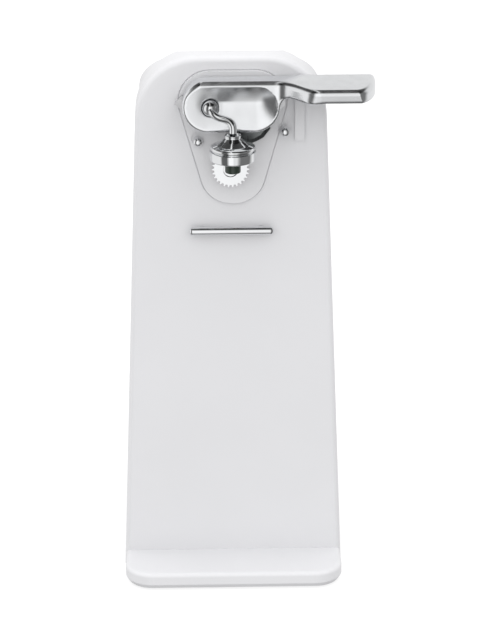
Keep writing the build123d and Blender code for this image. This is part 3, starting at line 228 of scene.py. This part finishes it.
def node_material(name, colour, metallic, roughness, **sockets):
    """A new material, with its Principled shader's plain sockets set."""
    finish = bpy.data.materials.new(name)
    finish.use_nodes = True
    shader = finish.node_tree.nodes["Principled BSDF"]
    shader.inputs["Base Color"].default_value = (*colour, 1)
    shader.inputs["Metallic"].default_value = metallic
    shader.inputs["Roughness"].default_value = roughness
    for socket, value in sockets.items():
        shader.inputs[socket.replace("_", " ")].default_value = value
    return finish


def noise(finish, scale, detail=2.0, stretch=(1, 1, 1)):
    """A noise texture in the object's own metres; stretch makes it finer along an axis."""
    nodes, links = finish.node_tree.nodes, finish.node_tree.links
    place = nodes.new("ShaderNodeTexCoord")
    mapping = nodes.new("ShaderNodeMapping")
    mapping.inputs["Scale"].default_value = stretch
    links.new(place.outputs["Object"], mapping.inputs["Vector"])
    texture = nodes.new("ShaderNodeTexNoise")
    texture.inputs["Scale"].default_value = scale
    texture.inputs["Detail"].default_value = detail
    links.new(mapping.outputs["Vector"], texture.inputs["Vector"])
    return texture.outputs["Fac"]


NOISE_LOW = 0.3  # nearly all of a noise texture lies between these
NOISE_HIGH = 0.7


def vary(finish, socket, source, low, high):
    """Drives a number socket between low and high by a texture."""
    nodes, links = finish.node_tree.nodes, finish.node_tree.links
    spread = nodes.new("ShaderNodeMapRange")
    spread.inputs["From Min"].default_value = NOISE_LOW
    spread.inputs["From Max"].default_value = NOISE_HIGH
    spread.inputs["To Min"].default_value = low
    spread.inputs["To Max"].default_value = high
    links.new(source, spread.inputs["Value"])
    links.new(spread.outputs["Result"], nodes["Principled BSDF"].inputs[socket])


def tint(finish, source, dark, light):
    """Colours the base between two tones by a texture."""
    nodes, links = finish.node_tree.nodes, finish.node_tree.links
    ramp = nodes.new("ShaderNodeValToRGB")
    ramp.color_ramp.elements[0].position = NOISE_LOW
    ramp.color_ramp.elements[1].position = NOISE_HIGH
    ramp.color_ramp.elements[0].color = (*dark, 1)
    ramp.color_ramp.elements[1].color = (*light, 1)
    links.new(source, ramp.inputs["Fac"])
    links.new(ramp.outputs["Color"], nodes["Principled BSDF"].inputs["Base Color"])


def bump(finish, source, strength, depth):
    """Adds relief of a depth in metres."""
    nodes, links = finish.node_tree.nodes, finish.node_tree.links
    relief = nodes.new("ShaderNodeBump")
    relief.inputs["Strength"].default_value = strength
    relief.inputs["Distance"].default_value = depth
    links.new(source, relief.inputs["Height"])
    links.new(relief.outputs["Normal"], nodes["Principled BSDF"].inputs["Normal"])


def moulded(name, colour, roughness, grain=1800.0, depth=0.00004):
    """Injection-moulded plastic with a fine spark-eroded grain and faint flow marks."""
    finish = node_material(name, colour, 0.0, roughness, IOR=1.5)
    shade = tuple(0.975 * part for part in colour)
    tint(finish, noise(finish, 22.0, 3.0), shade, colour)
    vary(finish, "Roughness", noise(finish, 60.0, 3.0), roughness - 0.04, roughness + 0.05)
    bump(finish, noise(finish, grain, 2.0), 0.25, depth)
    return finish


def metal(name, colour, roughness, stretch=(1, 1, 1), scale=900.0, depth=0.00001):
    """Bare or plated metal with fine marks; stretch lays them in one direction."""
    finish = node_material(name, colour, 1.0, roughness)
    shade = tuple(0.93 * part for part in colour)
    tint(finish, noise(finish, 45.0, 4.0), shade, colour)
    vary(finish, "Roughness", noise(finish, scale / 4, 3.0, stretch), roughness * 0.8, roughness * 1.25)
    bump(finish, noise(finish, scale, 2.0, stretch), 0.2, depth)
    return finish


finishes = {
    "white_shell": moulded("white_shell", (0.65, 0.65, 0.665), 0.34),
    "grey_cover": moulded("grey_cover", (0.62, 0.62, 0.63), 0.5, 900.0),
    "rubber_ring": moulded("rubber_ring", (0.05, 0.05, 0.05), 0.8, 1500.0),
    "black_gland": moulded("black_gland", (0.03, 0.03, 0.03), 0.6, 1500.0),
    "satin_chrome": metal("satin_chrome", (0.82, 0.83, 0.845), 0.2),
    "bright_steel": metal("bright_steel", (0.82, 0.83, 0.84), 0.07),
    "steel": metal("steel", (0.56, 0.56, 0.57), 0.32, (1, 1, 12)),
    "zinc_screw": metal("zinc_screw", (0.62, 0.62, 0.60), 0.35),
    "dark_steel": metal("dark_steel", (0.09, 0.10, 0.09), 0.35),
    "blade_steel": metal("blade_steel", (0.16, 0.17, 0.17), 0.3, (12, 1, 1)),
    "magnet_black": moulded("magnet_black", (0.022, 0.034, 0.025), 0.3, 2500.0),
    "bronze": metal("bronze", (0.48, 0.30, 0.15), 0.38),
    "gear_nylon": moulded("gear_nylon", (0.78, 0.75, 0.66), 0.42),
    "gear_steel": metal("gear_steel", (0.35, 0.35, 0.36), 0.35),
    "brass": metal("brass", (0.72, 0.52, 0.22), 0.3),
    "laminated_iron": metal("laminated_iron", (0.22, 0.21, 0.20), 0.5, (1, 40, 1), 1200.0, 0.00008),
    "copper": metal("copper", (0.78, 0.38, 0.22), 0.3),
    "winding": metal("winding", (0.55, 0.20, 0.07), 0.28, (40, 1, 1), 700.0, 0.0002),
    "bobbin_nylon": moulded("bobbin_nylon", (0.80, 0.78, 0.72), 0.45),
    "switch_black": moulded("switch_black", (0.035, 0.035, 0.035), 0.45),
    "slider_plastic": moulded("slider_plastic", (0.62, 0.10, 0.05), 0.4),
    "aluminium": metal("aluminium", (0.66, 0.66, 0.67), 0.38),
}

node_slots = {part["node"]: part["material_slot"] for part in frame["record"]["subparts"]}
for node, thing in frame["nodes"].items():
    for holder in thing.material_slots:
        holder.material = finishes.get(node_slots[node], finishes["satin_chrome"])

# ======================================================================================
# Mesh helpers
# ======================================================================================


def node_box(node):
    """A CAD node's lowest and highest corners, in millimetres."""
    low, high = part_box(node)
    return np.array(low) / MM, np.array(high) / MM


def piece(name, points, faces, finish, body, normals=None):
    """A smooth mesh given in millimetres, riding on a body."""
    mesh = bpy.data.meshes.new(name)
    mesh.from_pydata([tuple(MM * np.array(point)) for point in points], [], faces)
    mesh.polygons.foreach_set("use_smooth", [True] * len(mesh.polygons))
    if normals is not None:
        mesh.normals_split_custom_set_from_vertices([tuple(normal) for normal in normals])
    mesh.materials.append(finishes[finish])
    thing = bpy.data.objects.new(name, mesh)
    scene.collection.objects.link(thing)
    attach(thing, body)
    return thing


def round_join(first, second, radius):
    """Both shapes together, with a fillet where they meet. Shapes are distance fields, negative inside."""
    corner = np.hypot(np.maximum(radius - first, 0), np.maximum(radius - second, 0))
    return np.maximum(radius, np.minimum(first, second)) - corner


def round_cross(first, second, radius):
    """What two shapes share, with the edge between them rounded."""
    corner = np.hypot(np.maximum(radius + first, 0), np.maximum(radius + second, 0))
    return np.minimum(-radius, np.maximum(first, second)) + corner


def slope(field, points):
    """The field's direction of steepest rise at each point."""
    reach = 0.02
    rises = []
    for axis in range(3):
        shift = np.zeros(3)
        shift[axis] = reach
        rises.append(field(*(points + shift).T) - field(*(points - shift).T))
    return np.stack(rises, axis=1) / (2 * reach)


SETTLE_STEPS = 5
FLATTEST_RISE = 0.05  # keeps a step finite where the field is nearly level


def skin(field, low, high, step):
    """Points, faces and normals of the surface where a field is zero, found on a grid and settled onto it."""
    counts = [int(ceil((top - bottom) / step)) + 1 for bottom, top in zip(low, high)]
    axes = [bottom + step * np.arange(count) for bottom, count in zip(low, counts)]
    value = field(*np.meshgrid(*axes, indexing="ij"))
    inside = value < 0
    corners = [np.array((i, j, k)) for i in (0, 1) for j in (0, 1) for k in (0, 1)]
    filled = sum(
        inside[tuple(slice(c, n - 1 + c) for c, n in zip(corner, counts))].astype(int) for corner in corners
    )
    crossed = (filled > 0) & (filled < 8)
    cells = np.argwhere(crossed)
    number = np.full(crossed.shape, -1)
    number[crossed] = np.arange(len(cells))
    total = np.zeros((len(cells), 3))
    hits = np.zeros(len(cells))
    for corner in corners:
        for axis in range(3):
            if corner[axis]:
                continue
            along = np.eye(3, dtype=int)[axis]
            start = value[tuple((cells + corner).T)]
            end = value[tuple((cells + corner + along).T)]
            cut = (start < 0) != (end < 0)
            share = np.where(cut, start / np.where(cut, start - end, 1), 0)
            total[cut] += (corner + share[:, None] * along)[cut]
            hits[cut] += 1
    points = np.array(low) + step * (cells + total / hits[:, None])
    for _ in range(SETTLE_STEPS):
        rise = slope(field, points)
        size = np.maximum((rise**2).sum(axis=1), FLATTEST_RISE)
        points -= np.clip(field(*points.T) / size, -step, step)[:, None] * rise
    faces = []
    for axis in range(3):
        along, across, up = (np.eye(3, dtype=int)[(axis + turn) % 3] for turn in range(3))
        ends = tuple(slice(1 if a else 0, None) for a in along)
        starts = tuple(slice(0, -1 if a else None) for a in along)
        spots = np.argwhere(inside[starts] != inside[ends])
        room = np.array(crossed.shape)
        good = ((spots - across - up >= 0) & (spots < room)).all(axis=1)
        spots = spots[good]
        ring = [spots, spots - across, spots - across - up, spots - up]
        quads = np.stack([number[tuple(cell.T)] for cell in ring], axis=1)
        leaving = inside[tuple(spots.T)]
        faces.extend(np.where(leaving[:, None], quads, quads[:, ::-1]).tolist())
    rise = slope(field, points)
    normals = rise / np.linalg.norm(rise, axis=1)[:, None]
    return points, faces, normals


def lathe(outline, centre, steps):
    """Points and faces of an outline of (radius, height) turned about an upright axis. The outline ends
    on the axis or closes on itself."""
    points, faces = [], []
    count = len(outline)
    for turn in range(steps):
        angle = 2 * pi * turn / steps
        for radius, height in outline:
            points.append((centre[0] + radius * cos(angle), centre[1] + radius * sin(angle), height))
    for turn in range(steps):
        for spot in range(count - 1):
            here, after = turn * count + spot, (turn + 1) % steps * count + spot
            faces.append((here, after, after + 1, here + 1))
    return points, faces


def smooth_step(value):
    """Rises evenly from 0 to 1 and levels off at both ends."""
    share = np.clip(value, 0, 1)
    return share * share * (3 - 2 * share)


def even_step(value):
    """Rises from 0 to 1 with no sudden change of bend at either end."""
    share = np.clip(value, 0, 1)
    return share**3 * (10 - 15 * share + 6 * share**2)


# ======================================================================================
# Lever
# ======================================================================================

lever_low, lever_high = node_box("activation_lever")
shaft_low, shaft_high = node_box("lever_shaft")
blade_low, blade_high = node_box("cutting_blade")
arm_low, arm_high = node_box("magnet_arm")
PIVOT = (shaft_low + shaft_high) / 2
BALL_R = 3.1
BALL = np.array((arm_low[0] + BALL_R, arm_high[1] - BALL_R, arm_high[2] - BALL_R))
SOCKET_R = 3.35
PLATE_R = 10.2
PLATE_MID_Z = lever_low[2] + PLATE_R
PLATE_LEFT_X = lever_low[0] + PLATE_R
PLATE_RIGHT_X = 8.4
PLATE_FRONT_Y = -41.5
PLATE_BACK_Y = -32.9
RIM_WIDTH = 1.8  # above and below the dish
DISH_R = PLATE_R - RIM_WIDTH
DISH_DEPTH = 2.6
DISH_ROUNDNESS = 1.7
DISH_LEFT = 0.1
DISH_RIGHT = 0.9
DISH_DROP = 0.1
DISH_LEFT_SHARE = 0.12
DISH_START_X = -17.0
DISH_RUN_X = 14.0
DISH_LOW_SHARE = 0.5
DISH_START_BELOW = 7.0
DISH_RUN_Z = 9.0
NECK_START_X = 15.8
NECK_LENGTH = 18.4
NECK_STEEPNESS = 1.7  # roughly the neck's steepest slope, as a multiple of its mean one
UNDER_NECK_R = 4.4
BACK_STEP_X = 23.5
BACK_STEP_LENGTH = 3.0
HANDLE_START_X = 27.0
HANDLE_BLEND = 6.0
HANDLE_LOW_Z = 202.75
HANDLE_BULGE = 0.5  # the handle hangs this much lower where it leaves the neck
HANDLE_BULGE_X = 30.0
HANDLE_DRAFT = 0.16
HANDLE_CORNER_X = 8.8
HANDLE_CORNER_Y = 17.0
TOP_FALL = 0.0673
TOP_CREASE_R = 0.4
EDGE_R = 1.1
TOP_EDGE_MORE = 1.0
TOP_EDGE_ABOVE = 3.0
TOP_EDGE_BLEND = 5.0
BACK_EDGE_R = 1.0
POCKET_Y = -38.2
POCKET_WALL = 2.3
POCKET_CREASE_R = 0.4
POCKET_EDGE_R = 0.3
HUB_R = 5.6
BLADE_WAY_HALF_WIDTH = 9.3
BLADE_WAY_TOP_Z = 195.0
SOCKET_EDGE_R = 0.45


def lever_outline(x, z):
    """The lever seen from the front: the oval plate, the arched neck and the handle."""
    along = np.clip(x, PLATE_LEFT_X, PLATE_RIGHT_X)
    plate = np.hypot(x - along, z - PLATE_MID_Z) - PLATE_R
    low = HANDLE_LOW_Z - HANDLE_BULGE * smooth_step(1 - np.abs(x - HANDLE_BULGE_X) / HANDLE_BLEND)
    handle = np.maximum(low - z, -x)
    return round_join(plate, handle, UNDER_NECK_R)


def dish_outline(x, z):
    """The edge of the dish: an oval inside the plate's own, with a narrower rim at the right."""
    along = np.clip(x, PLATE_LEFT_X - DISH_LEFT, PLATE_RIGHT_X + DISH_RIGHT)
    return np.hypot(x - along, z - PLATE_MID_Z + DISH_DROP) - DISH_R


def dish_depth(x, z):
    """How deep the dish is: a rounded bowl that is shallow at the left and less deep below."""
    share = np.clip(-dish_outline(x, z) / DISH_R, 0, 1)
    bowl = 1 - (1 - share) ** DISH_ROUNDNESS
    right = DISH_LEFT_SHARE + (1 - DISH_LEFT_SHARE) * smooth_step((x - DISH_START_X) / DISH_RUN_X)
    rise = smooth_step((z - PLATE_MID_Z + DISH_START_BELOW) / DISH_RUN_Z)
    upper = DISH_LOW_SHARE + (1 - DISH_LOW_SHARE) * rise
    return DISH_DEPTH * right * upper * bowl


def front_shape(x, y, z):
    """The lever's front face, with the plate's dish, the swing of the neck and the handle's draft."""
    depth = lever_low[1] - PLATE_FRONT_Y
    swing = PLATE_FRONT_Y + depth * even_step((x - NECK_START_X) / NECK_LENGTH)
    middle = smooth_step(1 - np.abs(x - NECK_START_X - NECK_LENGTH / 2) / (NECK_LENGTH / 2))
    steep = NECK_STEEPNESS * depth / NECK_LENGTH * middle
    draft = HANDLE_DRAFT * (lever_high[2] - z) * smooth_step((x - HANDLE_START_X) / HANDLE_BLEND)
    return (swing + dish_depth(x, z) + draft - y) / np.hypot(1, steep)


FLATTEST_TURN = 0.04  # keeps the division below safe near the ellipse's middle
ELLIPSE_HEART = 0.2  # nearer the middle than this share, the plain end is used instead


def end_shape(x, y):
    """The handle's end, whose front corner is a quarter of an ellipse seen from above."""
    corner_x = np.maximum(x - (lever_high[0] - HANDLE_CORNER_X), 0) / HANDLE_CORNER_X
    corner_y = np.maximum(lever_low[1] + HANDLE_CORNER_Y - y, 0) / HANDLE_CORNER_Y
    reach = np.hypot(corner_x, corner_y)
    turn = np.maximum(np.hypot(corner_x / HANDLE_CORNER_X, corner_y / HANDLE_CORNER_Y), FLATTEST_TURN)
    end = np.where(reach > ELLIPSE_HEART, reach * (reach - 1) / turn, x - lever_high[0])
    return np.maximum(end, x - lever_high[0])


def pocket_shape(x, y, z):
    """The hollow behind the plate, around the shaft's hub, with the blade's way out."""
    along = np.clip(x, PLATE_LEFT_X, PLATE_RIGHT_X)
    pocket = np.hypot(x - along, z - PLATE_MID_Z) - (PLATE_R - POCKET_WALL)
    hub = np.hypot(x - PIVOT[0], z - PIVOT[2]) - HUB_R
    pocket = round_cross(pocket, -hub, POCKET_CREASE_R)
    from_blade = np.abs(x - (blade_low[0] + blade_high[0]) / 2)
    pocket = np.minimum(pocket, np.maximum(from_blade - BLADE_WAY_HALF_WIDTH, z - BLADE_WAY_TOP_Z))
    return round_cross(pocket, POCKET_Y - y, POCKET_CREASE_R)


def lever_field(x, y, z):
    """The die-cast lever."""
    top = z - lever_high[2] + TOP_FALL * (lever_high[1] - y)
    side = round_cross(lever_outline(x, z), top, TOP_CREASE_R)
    bend = EDGE_R + TOP_EDGE_MORE * smooth_step((z - PLATE_MID_Z - TOP_EDGE_ABOVE) / TOP_EDGE_BLEND)
    body = round_cross(np.maximum(front_shape(x, y, z), end_shape(x, y)), side, bend)
    step_back = (lever_high[1] - PLATE_BACK_Y) * smooth_step((x - BACK_STEP_X) / BACK_STEP_LENGTH)
    body = round_cross(body, y - PLATE_BACK_Y - step_back, BACK_EDGE_R)
    body = round_cross(body, -pocket_shape(x, y, z), POCKET_EDGE_R)
    socket = np.sqrt((x - BALL[0]) ** 2 + (y - BALL[1]) ** 2 + (z - BALL[2]) ** 2) - SOCKET_R
    return round_cross(body, -socket, SOCKET_EDGE_R)


SKIN_STEP = 0.42
SKIN_MARGIN = 1.0

points, faces, normals = skin(lever_field, lever_low - SKIN_MARGIN, lever_high + SKIN_MARGIN, SKIN_STEP)
lever = piece("lever_casting", points, faces, "satin_chrome", "lever", normals)
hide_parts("activation_lever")

# ======================================================================================
# Magnet cup
# ======================================================================================

cup_low, cup_high = node_box("magnet_cup")
CUP_MID = (cup_low + cup_high) / 2


def rounded(corners, steps=6):
    """A closed outline of (radius, height, corner radius) corners, with each corner rounded off."""
    outline = []
    for spot, (radius, height, bend) in enumerate(corners):
        here = np.array((radius, height))
        before = np.array(corners[spot - 1][:2]) - here
        after = np.array(corners[(spot + 1) % len(corners)][:2]) - here
        before /= np.linalg.norm(before)
        after /= np.linalg.norm(after)
        if bend == 0:
            outline.append(tuple(here))
            continue
        half = np.arccos(np.clip(before @ after, -1, 1)) / 2
        centre = here + (before + after) / np.linalg.norm(before + after) * bend / sin(half)
        start = here + before * bend / np.tan(half) - centre
        finish = here + after * bend / np.tan(half) - centre
        for step in range(steps + 1):
            share = step / steps
            sweep = pi - 2 * half
            point = (start * sin((1 - share) * sweep) + finish * sin(share * sweep)) / sin(sweep)
            outline.append(tuple(centre + point))
    return outline


CUP_R = 8.8
CUP_SIDES = 96
CUP_OUTLINE = [
    (7.25, 0.0, 0.1),
    (7.25, 2.6, 0.1),
    (2.4, 3.0, 0),
    (1.4, 6.0, 0),
    (1.4, 7.0, 0.2),
    (2.3, 7.9, 0.3),
    (2.65, 9.9, 0.35),
    (3.35, 10.15, 0.28),
    (3.05, 8.9, 0.5),
    (4.2, 7.6, 2.2),
    (6.3, 6.1, 0.9),
    (CUP_R, 5.45, 0.75),
    (8.45, 4.15, 0.3),
    (7.9, 4.05, 0.1),
    (7.9, 3.75, 0.1),
    (8.78, 3.7, 0.35),
    (CUP_R, 0.0, 0.5),
]


def cup_outline():
    """The cup's section, from its lower inside edge round the collar and back down its outside."""
    scale = (cup_high[0] - cup_low[0]) / 2 / CUP_R
    return [(radius * scale, cup_low[2] + height) for radius, height in rounded(CUP_OUTLINE)]


section = cup_outline()
points, faces = lathe(section + section[:1], CUP_MID, CUP_SIDES)
cup = piece("magnet_cup_shell", points, faces, "bright_steel", "magnet_cup")
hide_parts("magnet_cup")

# ======================================================================================
# Magnet arm
# ======================================================================================

WIRE_R = 1.4
WIRE_TIP_R = 1.12
WIRE_TIP_Z = 189.6
WIRE_TAPER = 1.2
ARM_HEAD_R = 1.8
ARM_HEAD_Z = arm_low[2] + 1.0
WIRE_PATH = [
    tuple(BALL),
    (-8.0, -42.0, 198.3),
    (-7.4, -43.8, 197.5),
    (-5.2, -44.6, 195.9),
    (-2.3, -45.3, 195.5),
    (-0.1, -46.2, 194.5),
    (CUP_MID[0] + 0.3, -47.3, 192.2),
    (CUP_MID[0], CUP_MID[1], 190.2),
    (CUP_MID[0], CUP_MID[1], 187.0),
    (CUP_MID[0], CUP_MID[1], ARM_HEAD_Z),
]


def eased(corners, steps):
    """A smooth line that follows a row of corners, and where it heads at each point."""
    ends = np.array([corners[0], corners[0], *corners, corners[-1], corners[-1]])
    line = []
    for spot in range(len(ends) - 3):
        a, b, c, d = ends[spot : spot + 4]
        for step in range(steps):
            t = step / steps
            near = (1 - t) ** 3 * a + (3 * t**3 - 6 * t**2 + 4) * b
            far = (3 * (t + t**2 - t**3) + 1) * c + t**3 * d
            line.append((near + far) / 6)
    line = np.array(line)
    heads = np.gradient(line, axis=0)
    return line, heads / np.linalg.norm(heads, axis=1)[:, None]


def tube(line, heads, radii, sides):
    """Points and faces of a round wire along a line, open at both ends."""
    points, faces = [], []
    across = np.cross(heads[0], (0, 0, 1.0))
    for spot, (centre, head, radius) in enumerate(zip(line, heads, radii)):
        across = across - head * (across @ head)
        across /= np.linalg.norm(across)
        up = np.cross(head, across)
        for side in range(sides):
            angle = 2 * pi * side / sides
            points.append(centre + radius * (across * cos(angle) + up * sin(angle)))
        if spot:
            for side in range(sides):
                last, after = (spot - 1) * sides, (side + 1) % sides
                faces.append((last + side, last + after, last + sides + after, last + sides + side))
    return points, faces


def joined(*parts):
    """Several lists of points and faces as one."""
    points, faces = [], []
    for some_points, some_faces in parts:
        faces.extend(tuple(len(points) + corner for corner in face) for face in some_faces)
        points.extend(some_points)
    return points, faces


WIRE_STEPS = 8
WIRE_SIDES = 20
WIRE_START = 0.8  # the wire starts this far from the ball's middle, inside it
BALL_RINGS = 24
ROUND_SIDES = 40
HEAD_LOW_EDGE = 0.25
HEAD_HIGH_EDGE = 0.3

line, heads = eased(WIRE_PATH, WIRE_STEPS)
keep = np.linalg.norm(line - BALL, axis=1) > WIRE_START
line, heads = line[keep], heads[keep]
radii = WIRE_R + (WIRE_TIP_R - WIRE_R) * smooth_step((WIRE_TIP_Z + WIRE_TAPER - line[:, 2]) / WIRE_TAPER)
angles = [pi * ring / BALL_RINGS for ring in range(BALL_RINGS + 1)]
ball_outline = [(BALL_R * sin(angle), BALL[2] - BALL_R * cos(angle)) for angle in angles]
head_outline = [
    (0, arm_low[2]),
    (ARM_HEAD_R - HEAD_LOW_EDGE, arm_low[2]),
    (ARM_HEAD_R, arm_low[2] + HEAD_LOW_EDGE),
    (ARM_HEAD_R, ARM_HEAD_Z - HEAD_HIGH_EDGE),
    (ARM_HEAD_R - HEAD_HIGH_EDGE, ARM_HEAD_Z),
    (0, ARM_HEAD_Z),
]
points, faces = joined(
    tube(line, heads, radii, WIRE_SIDES),
    lathe(ball_outline, BALL, ROUND_SIDES),
    lathe(head_outline, CUP_MID, ROUND_SIDES),
)
arm = piece("magnet_arm_wire", points, faces, "bright_steel", "magnet_arm")
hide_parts("magnet_arm")
